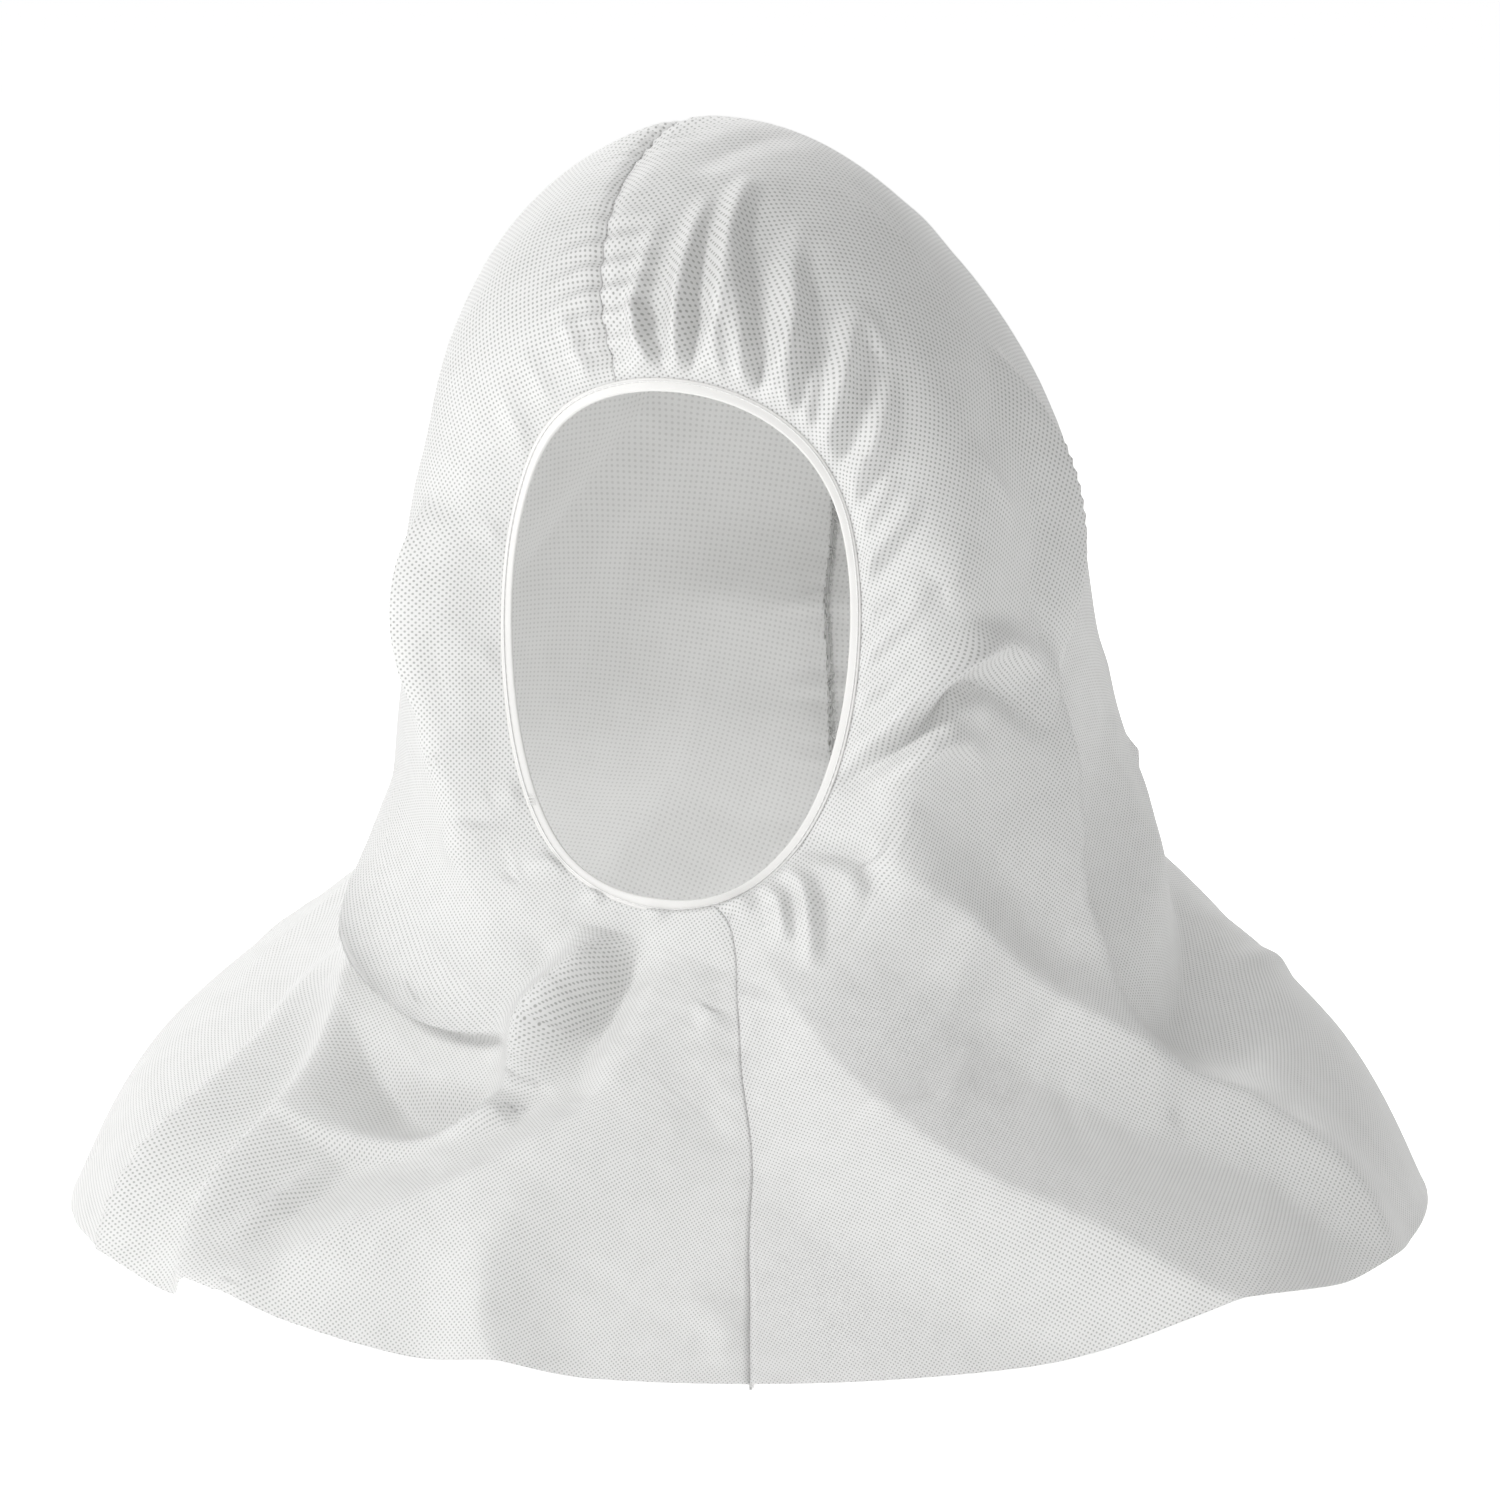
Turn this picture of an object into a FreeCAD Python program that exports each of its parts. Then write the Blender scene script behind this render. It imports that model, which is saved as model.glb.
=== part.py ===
"""Protective hood with a shoulder cape, worn with the head turned a little to its right.

Two mirror-cut halves of bonded nonwoven are joined by a crown and back seam and by a short
front seam. A folded binding with elastic in it edges the face opening. Millimetres, +Z up,
the face looks along -Y, and the origin is the centre of the wearer's head.
"""
import FreeCAD
import Part
import math
import os

# Cloth, seam and thread sizes.
fabric_thickness = 0.4
seam_allowance = 6.0
ply_gap = 0.2
thread_width = 0.4
thread_clearance = 0.1

# Heights above the lowest point of the hem, reaches from the neck axis, and widths.
hood_height = 402.0
head_centre_height = 240.0
chin_height = 151.0
face_height = 175.0
face_width = 122.0
chin_reach = 112.0
brow_reach = 97.0
cheek_setback = 14.0
head_back_reach = 124.0
hood_width = 250.0
cape_width = 462.0
cape_front_reach = 180.0
cape_back_reach = 185.0
cape_back_height = 20.0
shoulder_rise = 26.0

# How the hood sits on the head: the face turns aside, the crown leans, the cloth creeps round.
head_turn_degrees = 15.0
crown_lean = 14.0
turn_from_height = 60.0
turn_to_height = 170.0
lean_from_height = 280.0
seam_creep_degrees = 13.0

# Binding of the face opening, in the plane across the tape.
binding_width = 3.8
binding_thickness = 0.35
binding_clearance = 0.15
elastic_width = 1.4
elastic_thickness = 0.7
stitch_inset = 2.9
tack_length = 2.4
tack_count = 4
tack_pitch = 1.0
tack_angle = 292.0

# Girth lines run round the hood from the face opening (first row) to the hem (last row).
# Columns: share of the front seam below the chin; reach behind the neck axis as a share of
# head_back_reach, or of the way on to the cape's back hem; height of the back line as a share
# of hood_height; share of the way from the face width to the hood width, and on to the cape
# width; side set-back, squareness and seam creep as shares of their largest values.
girth_lines = [
    (0.00, None, None, 0.00, 0.0, 1.00, 0.6, 1.00),
    (0.05, -0.69, 0.890, 0.34, 0.0, 0.65, 0.4, 1.00),
    (0.14, -0.34, 0.975, 0.60, 0.0, 0.20, 0.0, 0.85),
    (0.25, 0.23, 0.998, 0.72, 0.0, 0.00, 0.0, 0.55),
    (0.37, 0.79, 0.896, 0.85, 0.0, 0.00, 0.0, 0.25),
    (0.51, 1.00, 0.672, 1.00, 0.0, 0.00, 0.0, 0.10),
    (0.66, 0.92, 0.443, 1.00, 0.3, 0.22, 0.3, 0.00),
    (0.83, 1.26, 0.249, 1.00, 0.78, 0.58, 0.7, 0.00),
    (1.00, 2.00, None, 1.00, 1.0, 1.00, 1.0, 0.00),
]
largest_squareness = 0.045
front_seam_bow = 1.2
egg_share = 0.06
last_line = len(girth_lines) - 1

angle_step = 7.5
line_step = 0.5
loop_sections = 72
probe = 0.02


def girth_row(index):
    """Millimetre values of one girth line: ends of its oval, half width, lift and shape."""
    front, back, height, widen, flare, lift, square, creep = girth_lines[index]
    front_y = -chin_reach - (cape_front_reach - chin_reach) * front ** front_seam_bow
    front_z = chin_height * (1.0 - front)
    if index == 0:
        back_y = -brow_reach
        back_z = chin_height + face_height
    else:
        inside = min(back, 1.0) * head_back_reach
        beyond = max(back - 1.0, 0.0) * (cape_back_reach - head_back_reach)
        back_y = inside + beyond
        back_z = cape_back_height if height is None else height * hood_height
    half_width = face_width + (hood_width - face_width) * widen
    half_width = (half_width + (cape_width - hood_width) * flare) / 2.0
    rise = cheek_setback if index < last_line / 2 else shoulder_rise
    egg = egg_share if index == 0 else 0.0
    return (front_y, front_z, back_y, back_z, half_width, rise * lift,
            largest_squareness * square, seam_creep_degrees * creep, egg)


rows = [girth_row(index) for index in range(len(girth_lines))]


def row_at(line):
    """Row between two girth lines: a cubic through the lines with central slopes."""
    low = min(int(line), last_line - 1)
    share = line - low
    before = rows[max(low - 1, 0)]
    start = rows[low]
    end = rows[low + 1]
    after = rows[min(low + 2, last_line)]
    values = []
    for a, b, c, d in zip(before, start, end, after):
        slope_in = (c - a) / 2.0
        slope_out = (d - b) / 2.0
        bend = 3.0 * (c - b) - 2.0 * slope_in - slope_out
        twist = 2.0 * (b - c) + slope_in + slope_out
        values.append(b + share * (slope_in + share * (bend + share * twist)))
    return values


def ease(value, start, end):
    """0 before start, 1 after end, and a smooth step between."""
    share = min(max((value - start) / (end - start), 0.0), 1.0)
    return share * share * (3.0 - 2.0 * share)


def cloth_point(line, degrees):
    """Point of the cloth's outer face. degrees runs from the front seam (0) by the wearer's
    left (90) to the crown and back seam (180) and round to the front again."""
    front_y, front_z, back_y, back_z, half_width, lift, square, creep, egg = row_at(line)
    angle = math.radians(degrees + creep)
    across = (math.sin(angle) + square * math.sin(3.0 * angle)) / (1.0 - square)
    along = (math.cos(angle) - square * math.cos(3.0 * angle)) / (1.0 - square)
    length = math.hypot(back_y - front_y, back_z - front_z)
    normal_y = (back_z - front_z) / length
    normal_z = (back_y - front_y) / length
    upward = ease(line, last_line / 2.0, last_line / 2.0 + 1.0)
    side_lift = lift * across * across
    x = half_width * across * (1.0 - egg * along)
    y = (front_y + back_y + (front_y - back_y) * along) / 2.0
    y += side_lift * normal_y * (1.0 - upward)
    y -= side_lift * normal_y * upward
    z = (front_z + back_z + (front_z - back_z) * along) / 2.0
    z += side_lift * normal_z * (2.0 * upward - 1.0)
    turn = -math.radians(head_turn_degrees) * ease(z, turn_from_height, turn_to_height)
    lean = crown_lean * ease(z, lean_from_height, hood_height)
    turned_x = x * math.cos(turn) - y * math.sin(turn)
    turned_y = x * math.sin(turn) + y * math.cos(turn)
    return FreeCAD.Vector(turned_x - lean, turned_y, z - head_centre_height)


def cloth_frame(line, degrees):
    """Point, outward normal, direction away from the face opening, and direction round it."""
    here = cloth_point(line, degrees)
    low = max(line - probe, 0.0)
    high = min(line + probe, float(last_line))
    away = (cloth_point(high, degrees) - cloth_point(low, degrees)).normalize()
    around = (cloth_point(line, degrees + 1.0) - cloth_point(line, degrees - 1.0)).normalize()
    normal = away.cross(around).normalize()
    around = normal.cross(away).normalize()
    return here, normal, away, around


def place(line, degrees, around_shift, depth, away_shift=0.0):
    """Point shifted round the opening, inward from the outer face, and away from the opening."""
    here, normal, away, around = cloth_frame(line, degrees)
    return here + around * around_shift - normal * depth + away * away_shift


def solid_from(faces, name):
    """Sews faces that share their edges and returns one closed solid, facing outward."""
    shape = Part.makeCompound(faces)
    shape.sewShape(0.001)
    solid = Part.makeSolid(shape.Shells[0])
    if solid.Volume < 0:
        solid.reverse()
    if not solid.isValid() or len(shape.Shells) != 1:
        print("not one closed solid:", name)
    return solid


def rail_solid(sections, closed, name):
    """Solid through polygons of equal count, with one smooth rail through each corner."""
    rails = []
    for corner in range(len(sections[0])):
        curve = Part.BSplineCurve()
        points = [section[corner] for section in sections]
        curve.interpolate(Points=points, PeriodicFlag=closed)
        rails.append(curve)
    faces = [rails[k - 1].makeRuledSurface(rails[k]).toShape() for k in range(len(rails))]
    if not closed:
        for section in (sections[0], sections[-1]):
            faces.append(Part.Face(Part.makePolygon(section + section[:1])))
    return solid_from(faces, name)


patch_lines = [step * line_step for step in range(int(last_line / line_step) + 1)]


def patch(first_degrees, last_degrees, edge_shift, depth):
    """Smooth surface over one half of the cloth, at a depth under its outer face."""
    count = round((last_degrees - first_degrees) / angle_step)
    grid = []
    for line in patch_lines:
        ring = []
        for column in range(count + 1):
            degrees = first_degrees + column * angle_step
            shift = edge_shift if column == 0 else 0.0
            shift = -edge_shift if column == count else shift
            ring.append(place(line, degrees, shift, depth))
        grid.append(ring)
    surface = Part.BSplineSurface()
    surface.interpolate(grid)
    return surface


def border(surface):
    """The four border curves of a surface, in one order for every surface."""
    first_u, last_u, first_v, last_v = surface.bounds()
    return [surface.uIso(first_u), surface.uIso(last_u),
            surface.vIso(first_v), surface.vIso(last_v)]


fin_from_line = 0.35
fin_full_line = 0.6


def fin_depth(line):
    """Depth of the seam allowance: nearly nothing inside the binding, then its full width."""
    least = fabric_thickness + binding_clearance / 2.0
    return least + (seam_allowance - least) * ease(line, fin_from_line, fin_full_line)


def fin_faces(outer_edge, inner_edge, degrees, side):
    """Faces of one seam allowance, turned inward along the seam edge of a half."""
    near = side * ply_gap / 2.0
    far = near + side * fabric_thickness
    rails = []
    for shift in (near, far):
        points = []
        for line in patch_lines:
            points.append(place(line, degrees, shift, fin_depth(line)))
        rail = Part.BSplineCurve()
        rail.interpolate(points)
        rails.append(rail)
    corners = [outer_edge, rails[0], rails[1], inner_edge]
    faces = [a.makeRuledSurface(b).toShape() for a, b in zip(corners, corners[1:])]
    for end in ("StartPoint", "EndPoint"):
        tips = [getattr(curve, end) for curve in corners]
        seam_side = Part.LineSegment(tips[0], tips[1])
        inside = Part.LineSegment(tips[3], tips[2])
        faces.append(seam_side.makeRuledSurface(inside).toShape())
    return faces


def panel(first_degrees, last_degrees, name):
    """One half of hood and cape, with its two seam allowances."""
    outer = patch(first_degrees, last_degrees, ply_gap / 2.0, 0.0)
    inner = patch(first_degrees, last_degrees, ply_gap / 2.0 + fabric_thickness,
                  fabric_thickness)
    opening, hem, first_seam, last_seam = border(outer)
    inner_opening, inner_hem, inner_first_seam, inner_last_seam = border(inner)
    faces = [outer.toShape(), inner.toShape(),
             opening.makeRuledSurface(inner_opening).toShape(),
             hem.makeRuledSurface(inner_hem).toShape()]
    faces += fin_faces(first_seam, inner_first_seam, first_degrees, 1.0)
    faces += fin_faces(last_seam, inner_last_seam, last_degrees, -1.0)
    return solid_from(faces, name)


def opening_loop(profile, name):
    """Closed ring round the face opening. profile gives (away, outward) corner pairs."""
    sections = []
    for step in range(loop_sections):
        degrees = step * 360.0 / loop_sections
        here, normal, away, around = cloth_frame(0.0, degrees)
        centre = here - normal * (fabric_thickness / 2.0)
        sections.append([centre + away * a + normal * n for a, n in profile])
    return rail_solid(sections, True, name)


def box_profile(away, outward, width, height):
    """Corners of a rectangle across the tape, centred on (away, outward)."""
    w = width / 2.0
    h = height / 2.0
    return [(away - w, outward - h), (away + w, outward - h),
            (away + w, outward + h), (away - w, outward + h)]


def hexagon_profile(away, outward):
    """Section of a thread, centred on (away, outward)."""
    corners = []
    for corner in range(6):
        angle = math.radians(60 * corner)
        corners.append((away + thread_width / 2.0 * math.cos(angle),
                        outward + thread_width / 2.0 * math.sin(angle)))
    return corners


# The folded tape: two legs clamp the cloth, and the fold beyond its cut edge holds the elastic.
leg_inner = fabric_thickness / 2.0 + binding_clearance
leg_outer = leg_inner + binding_thickness
pocket = elastic_thickness / 2.0 + binding_clearance
fold_end = -(elastic_width + 3.0 * binding_clearance)
binding_profile = [
    (fold_end + binding_width, leg_outer),
    (0.0, leg_outer),
    (-binding_clearance - elastic_width / 4.0, pocket + binding_thickness),
    (fold_end, pocket + binding_thickness),
    (fold_end - binding_thickness, pocket),
    (fold_end - binding_thickness, -pocket),
    (fold_end, -pocket - binding_thickness),
    (-binding_clearance - elastic_width / 4.0, -pocket - binding_thickness),
    (0.0, -leg_outer),
    (fold_end + binding_width, -leg_outer),
    (fold_end + binding_width, -leg_inner),
    (0.0, -leg_inner),
    (-binding_clearance, -pocket),
    (fold_end, -pocket),
    (fold_end, pocket),
    (-binding_clearance, pocket),
    (0.0, leg_inner),
    (fold_end + binding_width, leg_inner),
]
elastic_away = fold_end / 2.0 - binding_clearance / 2.0
stitch_away = fold_end + stitch_inset - binding_thickness
stitch_lift = leg_outer + thread_clearance + thread_width / 2.0


def seam_thread(degrees, side, depth, name):
    """Thread along a seam, on one side of the paired allowances."""
    offset = side * (ply_gap / 2.0 + fabric_thickness + thread_clearance + thread_width / 2.0)
    sections = []
    thread_lines = [fin_full_line] + [line for line in patch_lines if line > fin_full_line]
    for line in thread_lines:
        here, normal, away, around = cloth_frame(line, degrees)
        centre = here + around * offset - normal * depth
        sections.append([centre + around * a + normal * n for a, n in hexagon_profile(0.0, 0.0)])
    return rail_solid(sections, False, name)


def tack():
    """Short bars of thread over the lapped ends of the binding, one per stitch."""
    bars = []
    half = tack_length / 2.0
    for index in range(tack_count):
        here, normal, away, around = cloth_frame(0.0, tack_angle)
        along = (index - (tack_count - 1) / 2.0) * tack_pitch
        lift = pocket + binding_thickness + thread_clearance + thread_width / 2.0
        centre = here + around * along + normal * (lift - fabric_thickness / 2.0)
        reach = fold_end + binding_thickness + half
        sections = []
        for end in (reach - half, reach + half):
            middle = centre + away * end
            sections.append([middle + around * a + normal * n
                             for a, n in hexagon_profile(0.0, 0.0)])
        axis = sections[1][0] - sections[0][0]
        face = Part.Face(Part.makePolygon(sections[0] + sections[0][:1]))
        bars.append(face.extrude(axis))
    return Part.makeCompound(bars)


looper_depth = seam_allowance - thread_width
needle_depth = fabric_thickness + 2.0 * thread_width
front_seam = 0.0
back_seam = 180.0

nodes = {
    "left_panel": panel(front_seam, back_seam, "left_panel"),
    "right_panel": panel(back_seam, 360.0, "right_panel"),
    "face_binding": opening_loop(binding_profile, "face_binding"),
    "face_elastic": opening_loop(
        box_profile(elastic_away, 0.0, elastic_width, elastic_thickness), "face_elastic"),
    "binding_needle_thread": opening_loop(
        hexagon_profile(stitch_away, stitch_lift), "binding_needle_thread"),
    "binding_looper_thread": opening_loop(
        hexagon_profile(stitch_away, -stitch_lift), "binding_looper_thread"),
    "binding_tack_thread": tack(),
}
for seam, degrees in (("front_seam", front_seam), ("back_seam", back_seam)):
    for thread, side, depth in (("needle", 1.0, needle_depth),
                                ("upper_looper", 1.0, looper_depth),
                                ("lower_looper", -1.0, looper_depth)):
        name = seam + "_" + thread + "_thread"
        nodes[name] = seam_thread(degrees, side, depth, name)

os.makedirs("parts", exist_ok=True)
for name, shape in nodes.items():
    shape.exportStep("parts/" + name + ".step")
    box = shape.BoundBox
    print(name, "solids", len(shape.Solids), "valid", shape.isValid(),
          "volume", round(shape.Volume, 2),
          "box", [round(v, 1) for v in (box.XMin, box.XMax, box.YMin, box.YMax,
                                        box.ZMin, box.ZMax)])
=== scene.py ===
import math

import bpy
import numpy as np
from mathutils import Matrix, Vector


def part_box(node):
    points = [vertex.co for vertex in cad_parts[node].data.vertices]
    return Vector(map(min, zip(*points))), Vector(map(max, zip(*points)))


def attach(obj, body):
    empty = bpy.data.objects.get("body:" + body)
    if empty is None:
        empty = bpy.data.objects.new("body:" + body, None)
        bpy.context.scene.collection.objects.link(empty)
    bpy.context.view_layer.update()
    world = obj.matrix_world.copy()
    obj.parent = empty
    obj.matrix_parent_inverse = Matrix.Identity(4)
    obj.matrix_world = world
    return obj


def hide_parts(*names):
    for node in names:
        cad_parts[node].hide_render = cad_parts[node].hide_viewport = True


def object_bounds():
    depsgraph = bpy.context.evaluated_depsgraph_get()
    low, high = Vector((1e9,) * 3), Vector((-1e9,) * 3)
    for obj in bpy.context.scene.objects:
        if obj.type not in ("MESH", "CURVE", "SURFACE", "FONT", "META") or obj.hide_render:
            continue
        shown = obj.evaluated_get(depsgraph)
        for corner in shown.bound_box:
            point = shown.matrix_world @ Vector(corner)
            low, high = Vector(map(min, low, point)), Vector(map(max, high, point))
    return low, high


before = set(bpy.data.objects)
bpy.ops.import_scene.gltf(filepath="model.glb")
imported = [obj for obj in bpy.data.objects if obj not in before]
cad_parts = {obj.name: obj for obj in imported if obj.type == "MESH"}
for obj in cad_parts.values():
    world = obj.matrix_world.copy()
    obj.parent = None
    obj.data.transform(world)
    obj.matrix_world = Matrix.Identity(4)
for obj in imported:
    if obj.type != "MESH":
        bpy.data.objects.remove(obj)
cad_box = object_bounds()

# ---------------------------------------------------------------------------------------------
# The cloth of the two halves. Each half of hood and cape is one cut piece of white nonwoven:
# two spunbonded layers with a fine filter layer between them, welded in a square grid of dots.
# It is drawn over the head with the face turned a little to the wearer's right.
MM = 0.001
cad_low, cad_high = cad_box
binding_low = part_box("face_binding")[0]

hem_z = cad_low.z + 2.8 * MM
hood_height = cad_high.z - hem_z
tape_reach = 2.0 * MM
chin_z = binding_low.z + tape_reach
cape_half_width = (cad_high.x - cad_low.x) / 2.0
cape_front = 180.0 * MM
cape_back = cad_high.y
head_back = 124.0 * MM
chin_front = 112.0 * MM
hood_half_width = 125.0 * MM
face_half_width = 61.0 * MM
head_turn = math.radians(15.0)
neck_low = 60.0 * MM
neck_high = 170.0 * MM
crown_lean = 14.0 * MM
crown_low = 280.0 * MM
front_bow = 1.2
face_taper = 0.06
cloth_thickness = 0.4 * MM
seam_gap = 0.08 * MM
seam_allowance = 6.0 * MM

# Girth lines run round the cloth from the face opening to the hem. Columns: share of the front
# seam from chin to hem, reach of the back line in shares of the head's back and then of the
# cape's, its height as a share of the hood's, widening to the hood and flare to the cape,
# set-back or rise of the sides, squareness, and creep of the cloth round the face in degrees.
girths = np.array([
    (0.00, -0.782, 0.811, 0.00, 0.00, 14.0, 0.027, 13.0),
    (0.05, -0.690, 0.890, 0.34, 0.00, 9.1, 0.018, 13.0),
    (0.14, -0.340, 0.975, 0.60, 0.00, 2.8, 0.000, 11.0),
    (0.25, 0.230, 0.998, 0.72, 0.00, 0.0, 0.000, 7.0),
    (0.37, 0.790, 0.896, 0.85, 0.00, 0.0, 0.000, 3.0),
    (0.51, 1.000, 0.672, 1.00, 0.00, 0.0, 0.000, 1.0),
    (0.66, 0.920, 0.443, 1.00, 0.30, 6.0, 0.014, 0.0),
    (0.83, 1.260, 0.249, 1.00, 0.78, 15.0, 0.032, 0.0),
    (1.00, 2.000, 0.050, 1.00, 1.00, 26.0, 0.045, 0.0),
])
last_girth = len(girths) - 1


def ease(value, start, end):
    """0 before start, 1 after end, and 3s^2 - 2s^3 of the share s between them."""
    share = np.clip((value - start) / (end - start), 0.0, 1.0)
    return share * share * (3.0 - 2.0 * share)


def girth_at(line):
    """Columns of the girth table at any line: a cubic through the rows with central slopes."""
    low = np.clip(line.astype(int), 0, last_girth - 1)
    share = (line - low)[..., None]
    before = girths[np.maximum(low - 1, 0)]
    start = girths[low]
    end = girths[low + 1]
    after = girths[np.minimum(low + 2, last_girth)]
    slope_in = (end - before) / 2.0
    slope_out = (after - start) / 2.0
    bend = 3.0 * (end - start) - 2.0 * slope_in - slope_out
    twist = 2.0 * (start - end) + slope_in + slope_out
    values = start + share * (slope_in + share * (bend + share * twist))
    return np.moveaxis(values, -1, 0)


def smooth_cloth(line, degrees):
    """Point of the unfolded cloth. Each girth line is an oval between the front seam and the
    crown and back seam: middle + half its length times the cosine of the angle, and half its
    width times the sine, squared off by a little of the triple angle; its sides are set back
    near the face and raised over the shoulders, and the upper part turns with the head."""
    front, back, height, widen, flare, lift, square, creep = girth_at(line)
    front_y = -chin_front - (cape_front - chin_front) * np.maximum(front, 0.0) ** front_bow
    front_z = chin_z + (hem_z - chin_z) * front
    back_y = np.minimum(back, 1.0) * head_back + np.maximum(back - 1.0, 0.0) * (cape_back - head_back)
    back_z = hem_z + height * hood_height
    half_width = face_half_width + (hood_half_width - face_half_width) * widen
    half_width = half_width + (cape_half_width - hood_half_width) * flare
    angle = np.radians(degrees + creep)
    across = (np.sin(angle) + square * np.sin(3.0 * angle)) / (1.0 - square)
    along = (np.cos(angle) - square * np.cos(3.0 * angle)) / (1.0 - square)
    length = np.hypot(back_y - front_y, back_z - front_z)
    normal_y = (back_z - front_z) / length
    normal_z = (back_y - front_y) / length
    upward = ease(line, last_girth / 2.0, last_girth / 2.0 + 1.0)
    egg = face_taper * np.clip(1.0 - line, 0.0, 1.0)
    side = lift * MM * across * across
    x = half_width * across * (1.0 - egg * along)
    y = (front_y + back_y + (front_y - back_y) * along) / 2.0 + side * normal_y * (1.0 - 2.0 * upward)
    z = (front_z + back_z + (front_z - back_z) * along) / 2.0 + side * normal_z * (2.0 * upward - 1.0)
    turn = -head_turn * ease(z, hem_z + neck_low, hem_z + neck_high)
    lean = crown_lean * ease(z, hem_z + crown_low, cad_high.z)
    return np.stack([x * np.cos(turn) - y * np.sin(turn) - lean,
                     x * np.sin(turn) + y * np.cos(turn), z], axis=-1)


def unit(vectors):
    """Each vector over its own length."""
    return vectors / np.maximum(np.linalg.norm(vectors, axis=-1, keepdims=True), 1e-12)


def outward(points):
    """Unit normals of a grid that closes round the hood: its row step crossed with its column
    step, with the first column following the last."""
    rows = np.gradient(points, axis=0)
    columns = np.roll(points, -1, axis=1) - np.roll(points, 1, axis=1)
    return unit(np.cross(rows, columns))


# Columns crowd towards the two seams, where the stitching puckers the cloth. The second half
# repeats them after 180 degrees, and the whole round is folded before it is cut in two.
half_columns = 196
row_count = 215
column_share = np.linspace(0.0, 1.0, half_columns)
half_degrees = 180.0 * (column_share - 0.35 * np.sin(2.0 * np.pi * column_share) / (2.0 * np.pi))
round_degrees = np.concatenate([half_degrees[:-1], 180.0 + half_degrees[:-1]])
cloth_lines = np.linspace(0.0, last_girth, row_count)
degrees_grid, line_grid = np.meshgrid(round_degrees, cloth_lines)
smooth_points = smooth_cloth(line_grid, degrees_grid)
smooth_normals = outward(smooth_points)
fold_points = 19


def fold(push, sway, places, heights, widths, lean=0.0, round_over=0.6):
    """Adds one fold. It runs over the cloth through three places of (degrees, line), bent as a
    parabola, with its three heights in millimetres bent the same way. Across it, the height is
    2q^2 - q^3 of q = 1 - distance / width, with one width to its right and one to its left, and
    lean carries the crest sideways by that share of its height, so that it hangs over."""
    share = np.linspace(0.0, 1.0, fold_points)[:, None]
    bends = np.hstack([(1.0 - share) * (1.0 - 2.0 * share), 4.0 * share * (1.0 - share),
                       share * (2.0 * share - 1.0)])
    route = bends @ np.array(places, float)
    height = bends @ np.array(heights, float)
    line = np.clip(route[:, 1], 0.0, last_girth)
    path = smooth_cloth(line, route[:, 0])
    reach = max(widths) * MM
    inside = np.all((smooth_points > path.min(axis=0) - reach)
                    & (smooth_points < path.max(axis=0) + reach), axis=-1)
    points = smooth_points[inside]
    normals = smooth_normals[inside]
    nearest = np.full(len(points), np.inf)
    crest = np.zeros(len(points))
    shift = np.zeros((len(points), 3))
    for k in range(len(path) - 1):
        run = path[k + 1] - path[k]
        along = np.clip((points - path[k]) @ run / (run @ run), 0.0, 1.0)
        off = points - path[k] - along[:, None] * run
        distance = np.linalg.norm(off, axis=-1)
        rightward = unit(np.cross(run, normals))
        right = np.einsum("ij,ij->i", off, rightward) > 0.0
        width = np.where(right, widths[0], widths[1]) * MM
        softened = np.sqrt(distance ** 2 + (round_over * MM) ** 2) - round_over * MM
        q = np.clip(1.0 - softened / width, 0.0, 1.0)
        shape = (height[k] + along * (height[k + 1] - height[k])) * (2.0 * q ** 2 - q ** 3)
        closer = distance < nearest
        nearest = np.where(closer, distance, nearest)
        crest = np.where(closer, shape, crest)
        shift = np.where(closer[:, None], rightward * (shape * lean)[:, None], shift)
    push[inside] += crest
    sway[inside] += shift


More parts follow.
